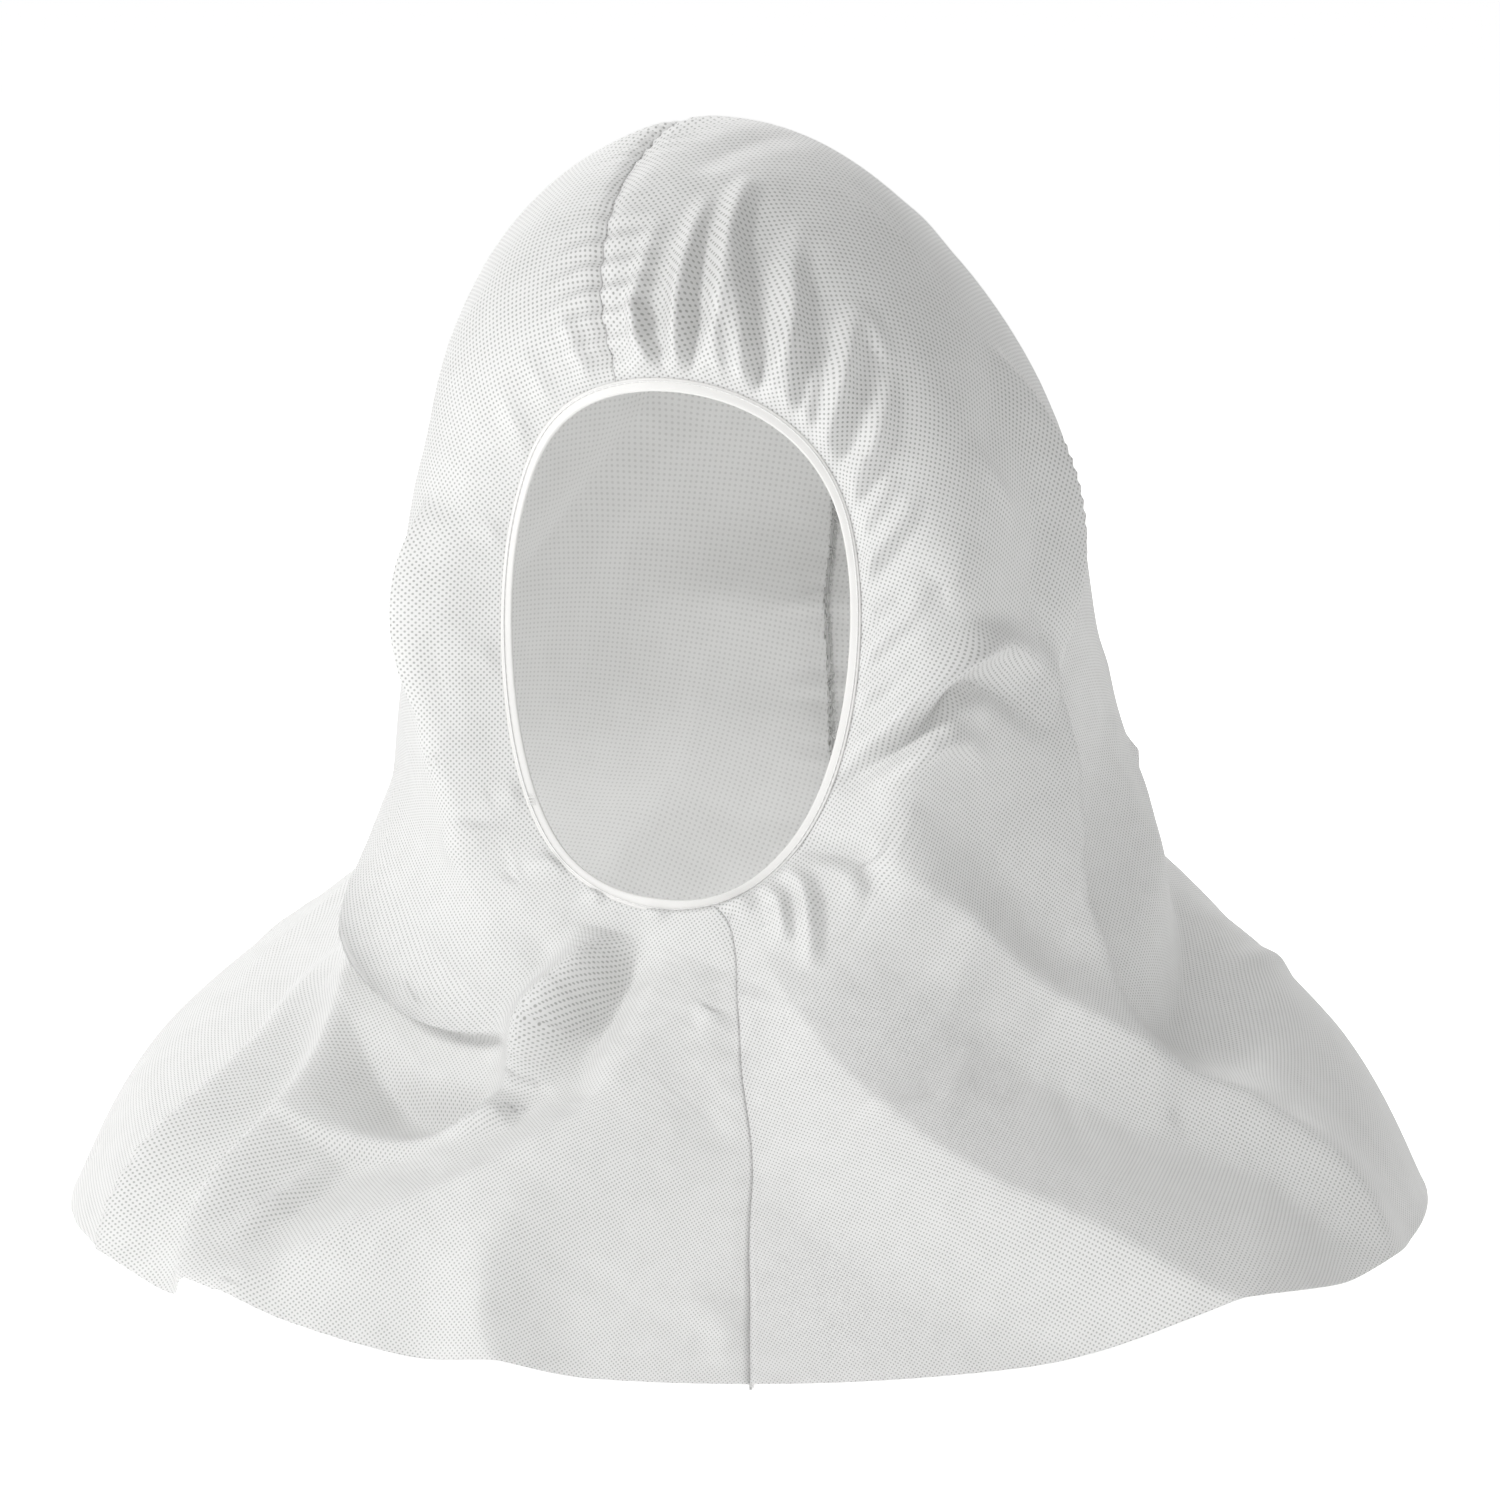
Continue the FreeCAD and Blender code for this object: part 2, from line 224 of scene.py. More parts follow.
# Folds as worn, each with its places, heights, widths to right and left, and lean.
worn_folds = [
    # cape front: two straight ridges part from the throat, one to each front corner of the hem
    ([(5, 1.6), (19, 4.7), (38, 8)], (3, 17, 24), (46, 78), 0.0),
    ([(354, 1.9), (339, 4.6), (319, 7.6)], (3, 17, 16), (34, 54), 0.0),
    ([(335, 6.0), (338, 7.1), (342, 8)], (1, 8, 9), (26, 30), 0.0),
    ([(58, 5.2), (66, 6.6), (62, 8)], (0, 7, 6), (30, 34), 0.0),
    # right shoulder: two long ridges to the hem, with a pinch and a crease between them
    ([(290, 5.0), (302, 6.4), (314, 8)], (4, 17, 18), (16, 32), 0.0),
    ([(282, 5.5), (291, 6.8), (298, 8)], (2, 13, 12), (14, 26), 0.0),
    ([(311, 6.4), (313, 6.9), (314, 7.4)], (0, 6, 0), (6, 7), 0.0),
    ([(300, 6.4), (314, 6.1), (325, 5.5)], (0, 7, 6), (7, 14), 0.0),
    # right side of the neck: the hood bags over the shoulder above a shaded pocket
    ([(282, 4.3), (303, 4.9), (326, 4.2)], (0, 17, 1), (8, 44), 0.5),
    ([(298, 5.6), (311, 5.7), (322, 5.3)], (-3, -15, -4), (24, 14), 0.0),
    # under the chin: an S-shaped roll and the hollow beside it
    ([(334, 1.3), (331, 3.2), (322, 6.0)], (1, 15, 3), (18, 11), 0.4),
    ([(339, 1.6), (337, 3.2), (333, 5.0)], (-2, -12, -2), (12, 12), 0.0),
    # left of the chin: small pinches pulled to the seam of the band
    ([(22, 0.6), (19, 1.6), (16, 2.7)], (2, 6, 0), (5, 5), 0.0),
    ([(15, 0.5), (13, 1.3), (12, 2.0)], (1, 4, 0), (4, 4), 0.0),
    ([(31, 0.3), (32, 1.5), (34, 2.6)], (-2, -6, -1), (6, 8), 0.0),
    ([(36, 2.2), (52, 4.4), (66, 6.4)], (2, 13, 5), (30, 26), 0.0),
    # left cheek: a crease with a roll over it, and the flap that hangs to the shoulder
    ([(48, 0.2), (61, 1.8), (73, 3.7)], (-2, -8, -2), (7, 8), 0.0),
    ([(53, 0.3), (67, 1.9), (78, 3.6)], (2, 8, 2), (7, 10), 0.0),
    ([(45, 1.0), (56, 2.2), (62, 3.4)], (0, 4, 0), (5, 7), 0.0),
    ([(80, 3.6), (77, 4.6), (72, 5.5)], (2, 15, 8), (54, 6), 0.4),
    # long edges where the front of the hood lies over its back
    ([(114, 3.0), (99, 3.6), (84, 3.8)], (0, 11, 4), (30, 7), 0.3),
    ([(244, 1.4), (262, 1.7), (280, 1.8)], (0, 8, 2), (6, 30), 0.3),
    # where the hood meets the cape over both shoulders
    ([(66, 5.7), (92, 6.1), (130, 6.1)], (0, -17, -5), (40, 36), 0.0),
    ([(234, 5.9), (268, 5.7), (292, 5.3)], (-4, -9, 0), (36, 32), 0.0),
    # back: the cape falls in broad folds from the nape, and the hood dips over the neck
    ([(170, 5.4), (166, 6.7), (160, 8)], (1, 11, 15), (34, 34), 0.0),
    ([(196, 5.4), (200, 6.7), (206, 8)], (1, 10, 14), (34, 30), 0.0),
    ([(140, 5.9), (136, 6.9), (130, 8)], (1, 9, 12), (32, 36), 0.0),
    ([(226, 5.9), (231, 6.9), (238, 8)], (1, 10, 12), (34, 30), 0.0),
    ([(150, 5.3), (180, 5.5), (212, 5.3)], (0, -10, 0), (34, 34), 0.0),
    ([(176, 3.6), (152, 4.4), (120, 5.0)], (0, 7, 0), (14, 20), 0.0),
    ([(186, 3.9), (208, 4.6), (240, 5.0)], (0, 7, 0), (20, 14), 0.0),
]

# Gathers of the elastic: where each leaves the band, how far it runs, its drift round the hood
# in degrees, height and half width in millimetres. Each starts at a share of its height, and
# halfway along has made a share of its drift.
gather_start = 0.6
gather_bend = 0.4
gather_rounding = 0.8
gathers = [
    (99, 0.9, 4, 3.4, 5), (106, 1.5, 9, 4.6, 6), (112, 0.7, -2, 3.0, 4), (119, 1.7, 8, 6.4, 7),
    (126, 0.9, 3, 4.4, 4), (132, 1.9, 11, 8.0, 8), (139, 1.0, -3, 4.2, 4), (144, 1.5, 8, 7.4, 6),
    (151, 2.1, 4, 9.0, 7), (157, 0.8, -4, 4.4, 4), (162, 1.8, -2, 8.4, 6), (168, 1.0, 5, 4.6, 4),
    (173, 1.6, -5, 5.0, 5), (187, 1.0, 3, 2.6, 5), (201, 0.9, 2, 1.8, 6), (216, 0.9, -3, 1.8, 6),
    (238, 0.8, 3, 1.5, 6), (262, 0.8, 2, 1.5, 7), (290, 0.7, 3, 1.6, 6), (312, 0.9, -2, 2.6, 6),
    (325, 0.8, 2, 2.4, 5), (344, 0.8, -2, 2.4, 5), (6, 0.8, 2, 2.6, 5), (66, 0.9, 4, 3.0, 5),
    (74, 1.2, 7, 3.4, 5), (83, 0.7, -2, 3.2, 4), (91, 1.2, 6, 4.0, 5),
]

push = np.zeros(line_grid.shape)
sway = np.zeros(smooth_points.shape)
for places, heights, widths, lean in worn_folds:
    fold(push, sway, places, heights, widths, lean)
for degrees, reach, drift, height, width in gathers:
    places = [(degrees, 0.0), (degrees + gather_bend * drift, reach / 2.0), (degrees + drift, reach)]
    fold(push, sway, places, (gather_start * height, height, 0.0), (width, width), 0.0, gather_rounding)

# Faint creases of handled cloth, in no order, all over. Each runs, climbs and bows up to these
# degrees and lines, with its height and half width in millimetres between these.
crease_count = 190
crease_lines = (0.8, 7.6)
crease_swing = 22.0
crease_climb = 1.1
crease_heights = (-1.6, 2.2)
crease_widths = (6.0, 22.0)
crease_bow = 3.0
chance = np.random.default_rng(11)
for _ in range(crease_count):
    degrees = chance.uniform(0.0, 360.0)
    line = chance.uniform(*crease_lines)
    swing = chance.uniform(-crease_swing, crease_swing)
    climb = chance.uniform(-crease_climb, crease_climb)
    height = chance.uniform(*crease_heights)
    width = chance.uniform(*crease_widths)
    bow = chance.uniform(-crease_bow, crease_bow)
    places = [(degrees, line), (degrees + swing / 2.0 + bow, line + climb / 2.0),
              (degrees + swing, line + climb)]
    fold(push, sway, places, (0.0, height, 0.0), (width, width))

# Each seam sinks into a groove and puckers: waves across it every 10 mm or so, that die away
# 16 mm to either side. The pucker's step is the seam's millimetres to a radian of the wave, which
# two slower waves shift and fade.
pucker_step = 1.55
shift_step = 23.0
fade_step = 41.0
pucker_share = 0.7
pucker_reach = 16.0
groove_reach = 3.0
seam_zone = 60.0
far_away = 1e3
row_step = np.linalg.norm(np.diff(smooth_points, axis=0), axis=-1)
run_length = np.vstack([np.zeros((1, len(round_degrees))), np.cumsum(row_step, axis=0)]) / MM
for seam, depth in ((0.0, 0.4), (180.0, 1.9)):
    from_seam = np.abs((degrees_grid - seam + 180.0) % 360.0 - 180.0)
    seam_column = np.argmin(from_seam[0])
    distance = np.linalg.norm(smooth_points - smooth_points[:, seam_column:seam_column + 1], axis=-1) / MM
    distance = np.where(from_seam > seam_zone, far_away, distance)
    length = run_length[:, seam_column:seam_column + 1]
    wave = np.sin(length / pucker_step + 1.7 * np.sin(length / shift_step))
    wave = wave * np.sin(length / fade_step + seam)
    push += depth * pucker_share * wave * np.exp(-(distance / pucker_reach) ** 2)
    push -= depth * np.exp(-(distance / groove_reach) ** 2)

# The cloth keeps its place inside the band and is free a few millimetres beyond it.
held_line = 0.10
free_line = 0.42
hem_drop = 2.0 * MM
free = ease(line_grid, held_line, free_line)
worn_points = smooth_points + (smooth_normals * push[..., None] + sway) * (MM * free)[..., None]
worn_points[..., 2] = np.maximum(worn_points[..., 2], hem_z - hem_drop)
worn_normals = outward(worn_points)


def seam_frame(points, normals, column):
    """Edge points of one seam, the outward normal there, and the direction round the hood."""
    edge = points[:, column]
    along = unit(np.gradient(edge, axis=0))
    normal = unit(normals[:, column] - along * np.sum(normals[:, column] * along, axis=-1, keepdims=True))
    return edge, normal, np.cross(normal, along)


# The allowance is nearly nothing inside the band, and then its full width, a little wavy.
allowance = 0.5 * MM + (seam_allowance - 0.5 * MM) * ease(cloth_lines, 0.35, 0.6)
seam_wave = 0.35 * MM * np.sin(run_length[:, 0] / 4.3) * ease(cloth_lines, 0.6, 0.9)
fin_shares = np.array([1.0, 0.75, 0.5, 0.27, 0.1])


def seam_fin(points, normals, column, side):
    """Columns of one allowance, from its raw edge up to the seam: the seam's edge, moved half
    the gap to its own side, and inward by a share of the allowance."""
    edge, normal, around = seam_frame(points, normals, column)
    depth = allowance[:, None] * fin_shares
    lateral = side * seam_gap / 2.0 + seam_wave[:, None] * fin_shares
    return edge[:, None] + around[:, None] * lateral[..., None] - normal[:, None] * depth[..., None]


def half_grid(points, normals, first_column):
    """One half: an allowance, the cloth from seam to seam, and the other allowance."""
    columns = (first_column + np.arange(half_columns)) % len(round_degrees)
    cloth = points[:, columns].copy()
    for column, side in ((0, 1.0), (-1, -1.0)):
        around = seam_frame(points, normals, columns[column])[2]
        cloth[:, column] += around * side * seam_gap / 2.0
    first = seam_fin(points, normals, columns[0], 1.0)
    last = seam_fin(points, normals, columns[-1], -1.0)
    return np.concatenate([first, cloth, last[:, ::-1]], axis=1)


def grid_mesh(name, points, closed=False):
    """A mesh of quads over a grid of points, wound so that it faces away from the head. A
    closed one joins its last column to its first and has a face over each end."""
    rows, columns = points.shape[:2]
    index = np.arange(rows * columns).reshape(rows, columns)
    right = np.roll(index, -1, axis=1) if closed else index[:, 1:]
    left = index if closed else index[:, :-1]
    quads = np.stack([left[:-1], left[1:], right[1:], right[:-1]], axis=-1).reshape(-1, 4)
    faces = quads.tolist()
    if closed:
        faces += [index[0].tolist(), index[-1, ::-1].tolist()]
    mesh = bpy.data.meshes.new(name)
    mesh.from_pydata(points.reshape(-1, 3), [], faces)
    mesh.polygons.foreach_set("use_smooth", np.ones(len(mesh.polygons), bool))
    piece = bpy.data.objects.new(name, mesh)
    bpy.context.collection.objects.link(piece)
    return piece


def lay_flat(piece, mirrored):
    """Flattens the half as its cutting pattern, in metres: an angle-true unwrap, scaled to the
    true area and turned until the front seam runs down V; the other half is its mirror."""
    mesh = piece.data
    bpy.context.view_layer.objects.active = piece
    piece.select_set(True)
    mesh.uv_layers.new(name="cut")
    bpy.ops.object.mode_set(mode="EDIT")
    bpy.ops.mesh.select_all(action="SELECT")
    bpy.ops.uv.unwrap(method="CONFORMAL", correct_aspect=False, margin=0.0)
    bpy.ops.object.mode_set(mode="OBJECT")
    piece.select_set(False)
    layer = mesh.uv_layers["cut"]
    flat = np.empty(2 * len(mesh.loops), np.float32)
    layer.uv.foreach_get("vector", flat)
    flat = flat.reshape(-1, 2).astype(float)
    corner = np.empty(len(mesh.loops), np.int32)
    mesh.loops.foreach_get("vertex_index", corner)
    areas = np.empty(len(mesh.polygons))
    mesh.polygons.foreach_get("area", areas)
    quads = flat.reshape(-1, 4, 2)
    crossed = (quads[:, 2] - quads[:, 0])[:, [1, 0]] * (quads[:, 3] - quads[:, 1])
    flat_area = abs(np.sum(crossed[:, 1] - crossed[:, 0])) / 2.0
    flat *= math.sqrt(areas.sum() / flat_area)
    columns = half_columns + 2 * len(fin_shares)
    seam = columns - 1 - len(fin_shares) if mirrored else len(fin_shares)
    chin = flat[np.argmax(corner == seam + columns * (row_count // 8))]
    hem = flat[np.argmax(corner == seam + columns * (row_count - 1))]
    turn = math.atan2(*(chin - hem))
    turned = flat @ np.array([[math.cos(turn), math.sin(turn)], [-math.sin(turn), math.cos(turn)]])
    if mirrored:
        turned[:, 0] *= -1.0
    layer.uv.foreach_set("vector", turned.astype(np.float32).reshape(-1))


class Wire:
    """A socket of a material. Sums with other sockets or numbers add its Math nodes."""

    def __init__(self, finish, socket):
        self.finish = finish
        self.socket = socket

    def math(self, operation, first, second=None):
        values = {0: first} if second is None else {0: first, 1: second}
        return self.finish.node("ShaderNodeMath", {"operation": operation}, values)

    def __add__(self, other):
        return self.math("ADD", self, other)

    __radd__ = __add__

    def __mul__(self, other):
        return self.math("MULTIPLY", self, other)

    __rmul__ = __mul__

    def __sub__(self, other):
        return self.math("SUBTRACT", self, other)

    def __rsub__(self, other):
        return self.math("SUBTRACT", other, self)

    def __pow__(self, other):
        return self.math("POWER", self, other)

    def fraction(self):
        return self.math("FRACT", self)

    def output(self, name):
        """Another output of the node that this one comes from."""
        return Wire(self.finish, self.socket.node.outputs[name])


class Finish:
    """A material, its surface shader, and the one way in which its nodes are added."""

    def __init__(self, name, **constants):
        self.material = bpy.data.materials.new(name)
        self.material.use_nodes = True
        self.tree = self.material.node_tree
        self.shader = self.tree.nodes["Principled BSDF"]
        for socket, value in constants.items():
            self.shader.inputs[self.label(socket)].default_value = value

    @staticmethod
    def label(socket):
        """The shader's name for a socket, so that base_color stands for Base Color."""
        return socket.replace("_", " ").title()

    def link(self, value, socket):
        """Joins a wire to the socket, or sets the socket to a plain value."""
        if isinstance(value, Wire):
            self.tree.links.new(value.socket, socket)
        else:
            socket.default_value = value

    def node(self, kind, settings, values, output=0):
        """Adds a node with its settings and inputs, and gives one of its outputs."""
        made = self.tree.nodes.new(kind)
        for setting, value in settings.items():
            setattr(made, setting, value)
        for socket, value in values.items():
            self.link(value, made.inputs[socket])
        return Wire(self, made.outputs[output])

    def surface(self, **values):
        """Feeds sockets of the surface shader."""
        for socket, value in values.items():
            self.link(value, self.shader.inputs[self.label(socket)])


def between(finish, first, second, factor):
    """Colour that goes from the first to the second with the factor."""
    return finish.node("ShaderNodeMix", {"data_type": "RGBA"}, {0: factor, 6: first, 7: second}, 2)


light_passed = 0.36


def nonwoven(name, weld_and_pit_shade):
    """White nonwoven: a square grid of bonded dots, turned against the front seam, over cloudy
    fibre. Each dot is where the distance from the centre of its cell is small, and weld_and_pit_shade
    is how deep it is pressed on this face and how dark it is painted: partly the bond point's own
    tone, partly painted shade in its pressed pit."""
    finish = Finish(name, roughness=0.72, sheen_weight=0.12, sheen_roughness=0.5)
    finish.shader.inputs["Specular IOR Level"].default_value = 0.22
    cut = finish.node("ShaderNodeTexCoord", {}, {}, "UV")
    dot_pitch = 1.46 * MM
    dot_turn = math.radians(28.0)
    dot_core = 0.17
    dot_edge = 0.30
    cell = finish.node("ShaderNodeMapping", {"vector_type": "POINT"},
                       {"Vector": cut, "Rotation": (0.0, 0.0, dot_turn),
                        "Scale": (1.0 / dot_pitch, 1.0 / dot_pitch, 1.0)})
    place = finish.node("ShaderNodeSeparateXYZ", {}, {0: cell}, "X")
    along = place.fraction() - 0.5
    across = place.output("Y").fraction() - 0.5
    spread = (along * along + across * across) ** 0.5
    dot = finish.node("ShaderNodeMapRange", {"interpolation_type": "SMOOTHSTEP"},
                      {0: spread, 1: dot_core, 2: dot_edge, 3: 1.0, 4: 0.0})
    cloud = finish.node("ShaderNodeTexNoise", {}, {"Vector": cut, "Scale": 95.0, "Detail": 3.0})
    fibre = finish.node("ShaderNodeTexNoise", {}, {"Vector": cut, "Scale": 2600.0, "Detail": 2.0})
    crumple = finish.node("ShaderNodeTexNoise", {}, {"Vector": cut, "Scale": 60.0, "Detail": 4.0})
    thick = (0.94, 0.94, 0.936, 1.0)
    thin = (0.82, 0.82, 0.812, 1.0)
    # Dot colour: partly the bond points' own darker tone, partly painted shade of their pressed pits.
    welded_dot_and_pit_shade = (0.26, 0.26, 0.25, 1.0)
    fleece = between(finish, thick, thin, cloud * 0.55 + fibre * 0.2)
    colour = between(finish, fleece, welded_dot_and_pit_shade, dot * weld_and_pit_shade * (0.6 + cloud * 0.4))
    fine = finish.node("ShaderNodeBump", {}, {"Strength": 0.35, "Distance": 0.15 * MM,
                                              "Height": fibre * 0.6 - dot * weld_and_pit_shade})
    relief = finish.node("ShaderNodeBump", {}, {"Strength": 0.3, "Distance": 1.2 * MM,
                                                "Height": crumple, "Normal": fine})
    finish.surface(base_color=colour, normal=relief)
    passed = finish.node("ShaderNodeBsdfTranslucent", {}, {"Color": thin, "Normal": relief})
    lit = Wire(finish, finish.shader.outputs[0])
    mixed = finish.node("ShaderNodeMixShader", {}, {0: light_passed, 1: lit, 2: passed})
    finish.link(mixed, finish.tree.nodes["Material Output"].inputs["Surface"])
    return finish.material


outer_face = nonwoven("bonded_nonwoven_outer_face", 1.0)
# Inner face: shallower dots, with less of their painted pit shade.
inner_face = nonwoven("bonded_nonwoven_inner_face", 0.4)
for name, first_column in (("left_panel", 0), ("right_panel", half_columns - 1)):
    half = grid_mesh(name + "_cloth", half_grid(smooth_points, smooth_normals, first_column))
    lay_flat(half, first_column > 0)
    worn = half_grid(worn_points, worn_normals, first_column)
    half.data.vertices.foreach_set("co", worn.reshape(-1).astype(np.float32))
    half.data.update()
    half.data.materials.append(outer_face)
    half.data.materials.append(inner_face)
    wall = half.modifiers.new("cloth_thickness", "SOLIDIFY")
    wall.thickness = cloth_thickness
    wall.offset = -1.0
    wall.material_offset = 1
    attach(half, "root")
    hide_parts(name)

# ---------------------------------------------------------------------------------------------
# The overlocked seams. Spun polyester thread closes each seam inside the hood: a needle thread
# runs along it, and two looper threads lace over the raw edges of the paired allowances.
thread_thickness = 0.4 * MM
stitch_length = 3.2
points_per_stitch = 8
thread_clearance = 0.12 * MM
first_stitch_line = 0.62


def thread_tube(name, path, across, thickness, corners=6):
    """A round thread: at each path point, thickness / 2 times the cosine of the corner's angle
    along across, and times the sine along the direction square to it and to the path."""
    along = unit(np.gradient(path, axis=0))
    across = unit(across - along * np.sum(across * along, axis=-1, keepdims=True))
    upward = np.cross(along, across)
    turn = np.arange(corners) * 2.0 * np.pi / corners
    ring = np.cos(turn)[:, None] * across[:, None] + np.sin(turn)[:, None] * upward[:, None]
    return grid_mesh(name, path[:, None] + ring[:, ::-1] * thickness / 2.0, closed=True)


def thread_finish(name, colour):
    """Twisted white thread: fine slanting ridges of its plies, with painted shade in the grooves between
    them, where the ridges are low.
    """
    finish = Finish(name, roughness=0.55)
    place = finish.node("ShaderNodeTexCoord", {}, {}, "Object")
    ply = finish.node("ShaderNodeTexWave", {"bands_direction": "DIAGONAL"},
                      {"Vector": place, "Scale": 900.0, "Distortion": 1.5})
    # Painted shade: the thread is darker where its ply ridges are low.
    shade = tuple(0.86 * part for part in colour[:3]) + (1.0,)
    ridge = finish.node("ShaderNodeBump", {}, {"Strength": 0.4, "Distance": 0.05 * MM, "Height": ply})
    finish.surface(base_color=between(finish, shade, colour, ply), normal=ridge)
    return finish.material


white_thread = thread_finish("white_sewing_thread", (0.86, 0.86, 0.85, 1.0))


def seam_thread(node, column, side, deepest, shallowest, phase, waves):
    """A thread on one side of the allowances: its depth swings between the two values once a
    stitch, as the middle plus half the swing times the cosine of the stitch's angle."""
    edge, normal, around = seam_frame(worn_points, worn_normals, column)
    length = run_length[:, column]
    start = np.interp(first_stitch_line, cloth_lines, length)
    steps = np.arange(start, length[-1] - 1.0, stitch_length / points_per_stitch)

    def at(values):
        """Points or directions of the seam at each step along it."""
        return np.stack([np.interp(steps, length, values[:, axis]) for axis in range(3)], axis=-1)

    edge, normal, around = at(edge), unit(at(normal)), unit(at(around))
    swing = np.cos(2.0 * np.pi * steps / stitch_length + phase)
    depth = (shallowest + deepest) / 2.0 + (deepest - shallowest) / 2.0 * swing
    wave = np.interp(steps, length, seam_wave) * depth / seam_allowance
    offset = seam_gap / 2.0 + cloth_thickness + thread_clearance + thread_thickness / 2.0
    offset = side * (offset + waves * thread_clearance * (1.0 - swing)) + wave
    path = edge + around * offset[:, None] - normal * depth[:, None]
    piece = thread_tube(node + "_stitches", path, around, thread_thickness)
    piece.data.materials.append(white_thread)
    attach(piece, "root")
    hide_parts(node)


for seam, column in (("front_seam", 0), ("back_seam", half_columns - 1)):
    seam_thread(seam + "_needle_thread", column, 1.0, 1.35 * MM, 1.15 * MM, 0.0, 0.0)
    seam_thread(seam + "_upper_looper_thread", column, 1.0, 5.7 * MM, 2.0 * MM, 0.0, 1.0)
    seam_thread(seam + "_lower_looper_thread", column, -1.0, 5.7 * MM, 1.6 * MM, 3.1, 1.0)

# ---------------------------------------------------------------------------------------------
# The band of the face opening. A smooth white tape is folded over the cut edge of the cloth and
# over a flat elastic, and is stitched through both legs; its ends lap at the right cheek.
tape_width = 3.8 * MM
tape_thickness = 0.35 * MM
tape_clearance = 0.15 * MM
elastic_width = 1.4 * MM
elastic_thickness = 0.7 * MM
fold_bulge = 0.45 * MM
swell_end = 0.2 * MM
ripple_height = 0.05 * MM
ripple_count = 196
band_sections = 420

fold_end = -(elastic_width + 3.0 * tape_clearance)
leg_inner = cloth_thickness / 2.0 + tape_clearance
pocket = elastic_thickness / 2.0 + tape_clearance
band_degrees = np.arange(band_sections) * 360.0 / band_sections


def band_frame(degrees):
    """Middle of the cloth's cut edge, its outward normal and the way off the opening."""
    low = np.zeros_like(degrees)
    here = smooth_cloth(low, degrees)
    away = unit(smooth_cloth(low + 0.02, degrees) - here)
    around = unit(smooth_cloth(low, degrees + 1.0) - smooth_cloth(low, degrees - 1.0))
    normal = unit(np.cross(away, around))
    return here - normal * cloth_thickness / 2.0, normal, away


band_middle, band_normal, band_away = band_frame(band_degrees)
band_step = np.linalg.norm(np.roll(band_middle, -1, axis=0) - band_middle, axis=-1)
band_length = (np.cumsum(band_step) - band_step) / MM


def tape_profile():
    """Section of the folded tape as (away, outward) pairs: the outer leg, a half circle round
    the fold with its bulge over the elastic, the inner leg, and back along the inside."""
    bend = np.linspace(math.pi / 2.0, 3.0 * math.pi / 2.0, 11)
    leg_share = np.linspace(1.0, 0.0, 7)
    leg_away = fold_end + leg_share * tape_width
    swell = 1.0 - ease(leg_away, fold_end + 0.6 * elastic_width, swell_end)

    def side(extra):
        """One face of the tape: its inner one, or its outer one at extra above it."""
        lift = leg_inner + (pocket - leg_inner) * swell + extra
        outer = np.stack([leg_away, lift], axis=-1)
        curve = np.stack([fold_end + (fold_bulge + extra) * np.cos(bend),
                          (pocket + extra) * np.sin(bend)], axis=-1)
        inner = np.stack([leg_away[::-1], -lift[::-1]], axis=-1)
        return np.concatenate([outer, curve[1:-1], inner])

    return np.concatenate([side(tape_thickness), side(0.0)[::-1]])


def closed_band(name, profile, ripple):
    """The profile carried round the opening; ripple moves it outward, one value per section."""
    lift = profile[None, :, 1] + np.sign(profile[None, :, 1]) * ripple[:, None]
    points = (band_middle[:, None] + band_away[:, None] * profile[None, :, :1]
              + band_normal[:, None] * lift[..., None])
    rows, columns = points.shape[:2]
    index = np.arange(rows * columns).reshape(rows, columns)
    after = np.roll(index, -1, axis=0)
    quads = np.stack([index, np.roll(index, -1, axis=1), np.roll(after, -1, axis=1), after], axis=-1)
    mesh = bpy.data.meshes.new(name)
    mesh.from_pydata(points.reshape(-1, 3), [], quads.reshape(-1, 4).tolist())
    mesh.polygons.foreach_set("use_smooth", np.ones(len(mesh.polygons), bool))
    piece = bpy.data.objects.new(name, mesh)
    bpy.context.collection.objects.link(piece)
    return piece


def tape_finish():
    """Smooth tape: no dots, a fine crosswise rib and a slightly warm white."""
    finish = Finish("binding_tape_white", roughness=0.6, sheen_weight=0.1)
    place = finish.node("ShaderNodeTexCoord", {}, {}, "Object")
    rib = finish.node("ShaderNodeTexNoise", {}, {"Vector": place, "Scale": 1800.0, "Detail": 3.0})
    cloud = finish.node("ShaderNodeTexNoise", {}, {"Vector": place, "Scale": 120.0, "Detail": 2.0})
    relief = finish.node("ShaderNodeBump", {}, {"Strength": 0.35, "Distance": 0.12 * MM, "Height": rib})
    finish.surface(base_color=between(finish, (0.77, 0.765, 0.75, 1.0), (0.70, 0.695, 0.68, 1.0),
                                      cloud * 0.6 + rib * 0.3), normal=relief)
    return finish.material


band_ripple = ripple_height * np.sin(band_length * 2.0 * np.pi / (band_length[-1] / ripple_count))
tape = closed_band("face_binding_tape", tape_profile(), band_ripple)
tape.data.materials.append(tape_finish())
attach(tape, "root")
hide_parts("face_binding")


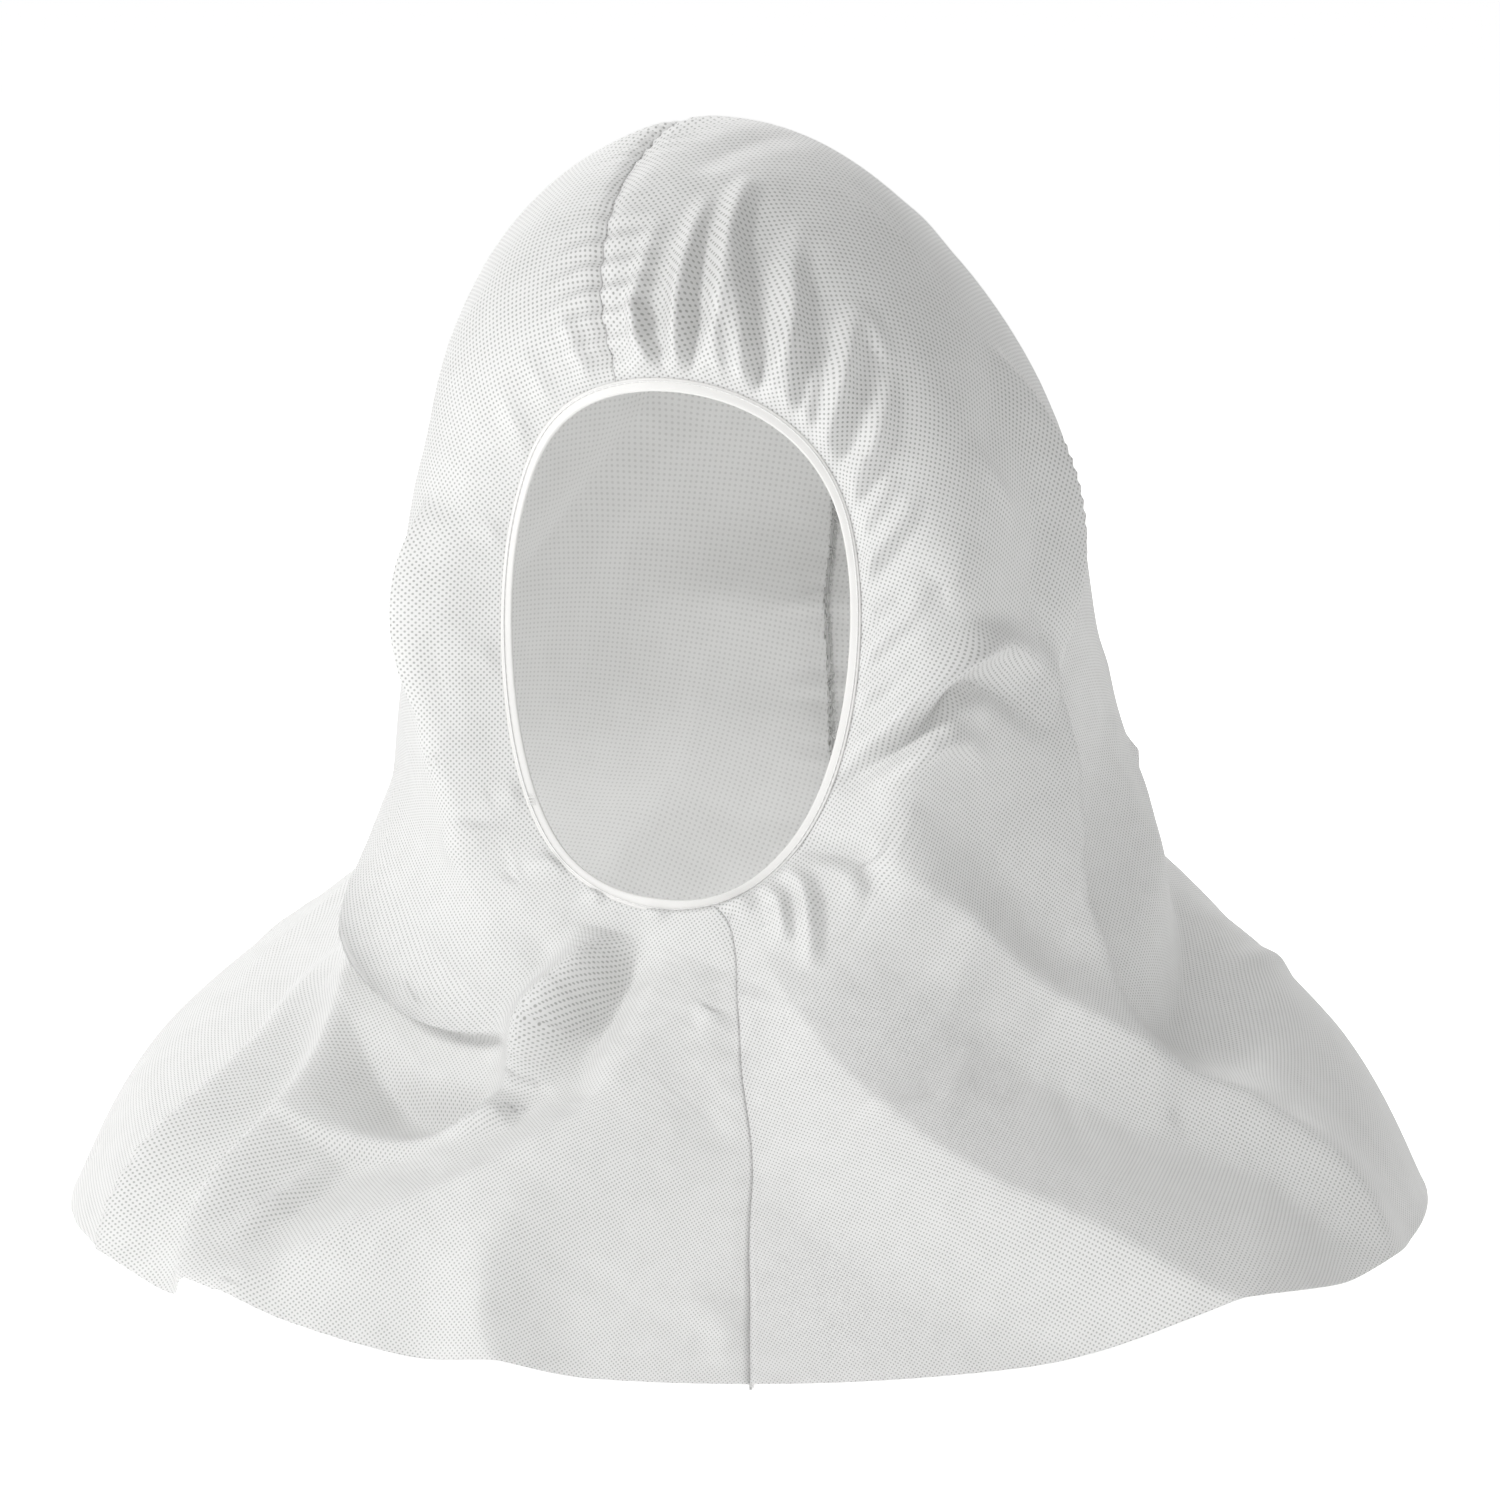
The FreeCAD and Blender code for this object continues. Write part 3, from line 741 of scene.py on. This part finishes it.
# ---------------------------------------------------------------------------------------------
# The elastic. A flat band of rubber cords under a white cover lies loose in the fold of the tape
# and draws the face opening in. Its plain shape is right as it comes.
def elastic_finish():
    """Flat elastic: rubber cords under a white cover, so a fine rib runs over it, with painted shade in
    the grooves between the ribs.
    """
    finish = Finish("ribbed_elastic", roughness=0.65)
    place = finish.node("ShaderNodeTexCoord", {}, {}, "Object")
    rib = finish.node("ShaderNodeTexWave", {}, {"Vector": place, "Scale": 700.0, "Distortion": 0.6})
    relief = finish.node("ShaderNodeBump", {}, {"Strength": 0.4, "Distance": 0.08 * MM, "Height": rib})
    # Painted shade: the elastic is darker where its rib is low.
    finish.surface(base_color=between(finish, (0.80, 0.79, 0.77, 1.0), (0.88, 0.87, 0.86, 1.0), rib),
                   normal=relief)
    return finish.material


def refinish(node, material):
    """Gives a CAD node that stays as it is a new material, in its object's own slots."""
    for place in bpy.data.objects[node].material_slots:
        place.material = material


refinish("face_elastic", elastic_finish())

# ---------------------------------------------------------------------------------------------
# The stitching of the band. A white chain stitch holds the two legs of the tape together: the
# needle thread shows outside and dips at each hole, and the looper thread lies inside.
stitch_away = fold_end + 2.9 * MM - tape_thickness
band_stitches = 180
hoop_count = band_stitches * points_per_stitch


def hoop(node, lift, dip, sway_width, side):
    """A closed thread round the band: lift from the cloth's middle less a dip at each hole,
    where the hole's share is the eighth power of a cosine, with a sideways swing."""
    degrees = np.linspace(0.0, 360.0, hoop_count, endpoint=False)
    middle, normal, away = band_frame(degrees)
    step = np.linalg.norm(np.roll(middle, -1, axis=0) - middle, axis=-1)
    turn = (np.cumsum(step) - step) / step.sum() * band_stitches * np.pi
    height = side * (lift - dip * np.cos(turn) ** 8)
    path = middle + away * (stitch_away + sway_width * np.sin(2.0 * turn))[:, None]
    path = path + normal * height[:, None]
    path = np.concatenate([path, path[:1]])
    normals = np.concatenate([normal, normal[:1]])
    piece = thread_tube(node + "_stitches", path, normals, thread_thickness)
    piece.data.materials.append(white_thread)
    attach(piece, "root")
    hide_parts(node)


stitch_lift = leg_inner + tape_thickness + 0.1 * MM + thread_thickness / 2.0
hoop("binding_needle_thread", stitch_lift, 0.3 * MM, 0.0, 1.0)
hoop("binding_looper_thread", stitch_lift, 0.1 * MM, 0.3 * MM, -1.0)
refinish("binding_tack_thread", white_thread)

# ---------------------------------------------------------------------------------------------
# Floor, light and camera: a white sweep, a soft light at the upper left of the view, another
# behind, an even fill, and a long lens a little above the face.
floor_reach = 9.0
floor_mesh = bpy.data.meshes.new("floor")
floor_z = cad_low.z - 0.5 * MM
floor_corners = [(-floor_reach, -floor_reach, floor_z), (floor_reach, -floor_reach, floor_z),
                 (floor_reach, floor_reach, floor_z), (-floor_reach, floor_reach, floor_z)]
floor_mesh.from_pydata(floor_corners, [], [(0, 1, 2, 3)])
floor = bpy.data.objects.new("floor", floor_mesh)
bpy.context.collection.objects.link(floor)
paper = Finish("white_paper_sweep", base_color=(0.92, 0.92, 0.92, 1.0), roughness=0.9,
               emission_color=(1.0, 1.0, 1.0, 1.0), emission_strength=0.54)
floor_mesh.materials.append(paper.material)

view_tilt = math.radians(8.0)
view_distance = 10.0
frame_width = 0.51
camera_data = bpy.data.cameras.new("camera")
camera = bpy.data.objects.new("camera", camera_data)
bpy.context.collection.objects.link(camera)
bpy.context.scene.camera = camera
sensor_width = 36.0
camera_data.sensor_width = sensor_width
camera_data.lens = sensor_width * view_distance / frame_width
camera_data.clip_end = 50.0
aim = np.array([0.0, 0.0, -0.051])
camera.location = aim + view_distance * np.array([0.0, -math.cos(view_tilt), math.sin(view_tilt)])
camera.rotation_euler = (math.pi / 2.0 - view_tilt, 0.0, 0.0)

bpy.context.scene.view_settings.view_transform = "Standard"
world = bpy.data.worlds.new("studio")
bpy.context.scene.world = world
world.use_nodes = True
world.node_tree.nodes["Background"].inputs["Color"].default_value = (1.0, 1.0, 1.0, 1.0)
world.node_tree.nodes["Background"].inputs["Strength"].default_value = 0.48


lit_point = np.array([0.0, 0.0, -0.05])


def softbox(name, place, size, power):
    """A square area light that faces the hood."""
    data = bpy.data.lights.new(name, "AREA")
    data.size = size
    data.energy = power
    lamp = bpy.data.objects.new(name, data)
    bpy.context.collection.objects.link(lamp)
    lamp.location = place
    way = lit_point - np.array(place)
    yaw = math.atan2(-way[0], way[1])
    pitch = math.acos(-way[2] / np.linalg.norm(way))
    lamp.rotation_euler = (pitch, 0.0, yaw)


softbox("key_light", place=(-1.7, -1.25, 1.2), size=0.6, power=31.0)
softbox("back_light", place=(-0.2, 1.7, 1.1), size=0.8, power=28.0)
